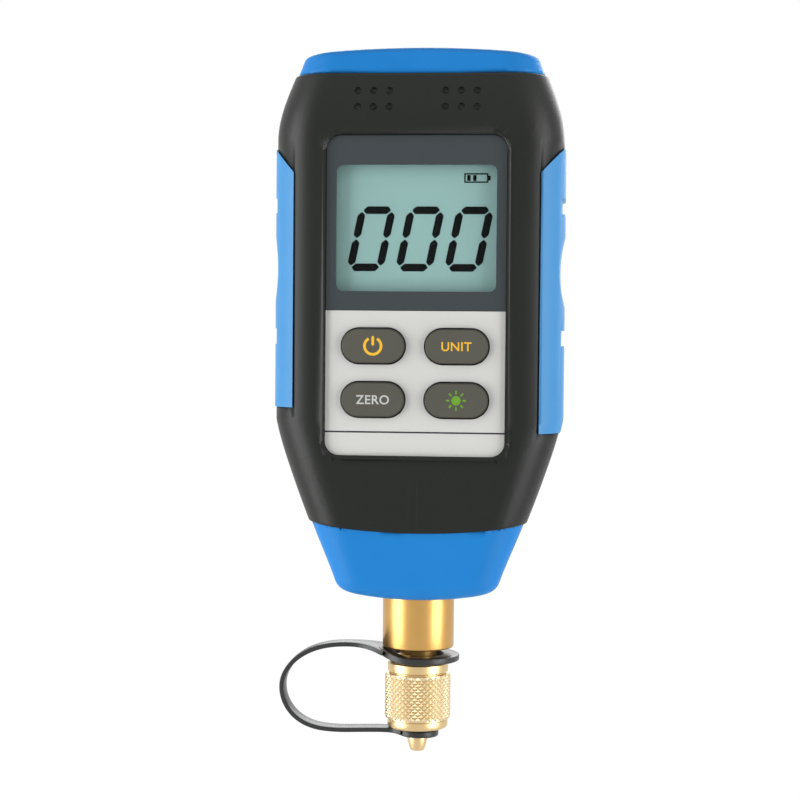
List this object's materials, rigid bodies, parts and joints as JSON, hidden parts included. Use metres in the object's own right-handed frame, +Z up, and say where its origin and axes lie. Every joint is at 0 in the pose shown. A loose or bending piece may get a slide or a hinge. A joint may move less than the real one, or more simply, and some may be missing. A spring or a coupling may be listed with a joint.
{
  "type": "digital compound gauge",
  "caption": "Hand-held digital vacuum and pressure gauge with a display, rubber keys, side grips and a brass flare port under a knurled cap on a strap.",
  "frame": {"origin": "centre of the sealing end of the flare port, on its axis", "axes": "+Z up along the port's axis into the gauge, -Y out of the display, +X to the right seen from the front"},
  "size_m": [0.0598, 0.0296, 0.1461],
  "materials": {
    "body_black": "fine satin black",
    "cover_blue": "satin blue",
    "grip_blue": "satin blue",
    "slate_frame": "slate grey print",
    "silver_plate": "silver print",
    "clear_lens": "clear",
    "lcd_glass": "pale green-grey",
    "light_guide": "milky white",
    "key_rubber": "warm grey",
    "mat_rubber": "grey",
    "board_green": "green solder mask",
    "screw_steel": "zinc plated",
    "chip_black": "moulded black",
    "cell_can": "plain can",
    "contact_metal": "nickel plated",
    "port_brass": "turned",
    "cap_brass": "turned and knurled",
    "seal_rubber": "black",
    "sensor_can": "stainless",
    "ribbon_plastic": "flat ribbon",
    "strap_rubber": "black"
  },
  "bodies": {
    "housing": {"front_shell": "body_black", "rear_shell": "body_black", "bottom_boot": "cover_blue", "top_cap": "cover_blue", "right_grip": "grip_blue", "left_grip": "grip_blue", "display_frame": "slate_frame", "keypad_fascia": "silver_plate", "display_lens": "clear_lens", "lcd_panel": "lcd_glass", "backlight_plate": "light_guide", "keypad_mat": "mat_rubber", "main_board": "board_green", "board_screws": "screw_steel", "controller_chip": "chip_black", "buzzer": "chip_black", "case_screws": "screw_steel", "left_cell": "cell_can", "right_cell": "cell_can", "battery_contacts": "contact_metal", "port_stem": "port_brass", "stem_ring": "seal_rubber", "stem_nut": "port_brass", "pressure_sensor": "sensor_can", "sensor_ribbon": "ribbon_plastic", "cap_strap": "strap_rubber"},
    "power_key": {"power_key": "key_rubber"},
    "unit_key": {"unit_key": "key_rubber"},
    "zero_key": {"zero_key": "key_rubber"},
    "light_key": {"light_key": "key_rubber"},
    "battery_door": {"battery_door": "body_black"},
    "cap_seal": {"cap_seal": "seal_rubber"},
    "port_cap": {"port_cap": "cap_brass"}
  },
  "joints": [
    {"name": "power_key_press", "type": "slide", "parent": "housing", "child": "power_key", "axis": [0, 1, 0], "range_m": [0, 0.0008], "stiffness_N_per_m": 400, "springref_m": -0.002},
    {"name": "unit_key_press", "type": "slide", "parent": "housing", "child": "unit_key", "axis": [0, 1, 0], "range_m": [0, 0.0008], "stiffness_N_per_m": 400, "springref_m": -0.002},
    {"name": "zero_key_press", "type": "slide", "parent": "housing", "child": "zero_key", "axis": [0, 1, 0], "range_m": [0, 0.0008], "stiffness_N_per_m": 400, "springref_m": -0.002},
    {"name": "light_key_press", "type": "slide", "parent": "housing", "child": "light_key", "axis": [0, 1, 0], "range_m": [0, 0.0008], "stiffness_N_per_m": 400, "springref_m": -0.002},
    {"name": "door_swing", "type": "hinge", "parent": "housing", "child": "battery_door", "pos_m": [0, 0.015, 0.0645], "axis": [-1, 0, 0], "range_deg": [0, 75]},
    {"name": "cap_travel", "type": "slide", "parent": "housing", "child": "cap_seal", "axis": [0, 0, -1], "range_m": [0, 0.007], "deforming": ["cap_strap"]},
    {"name": "cap_turn", "type": "hinge", "parent": "cap_seal", "child": "port_cap", "pos_m": [0, 0, 0], "axis": [0, 0, -1], "range_deg": [0, 1980]}
  ],
  "couplings": [
    {"joint": "cap_travel", "follows": "cap_turn", "m_per_rad": 0.00020213}
  ]
}
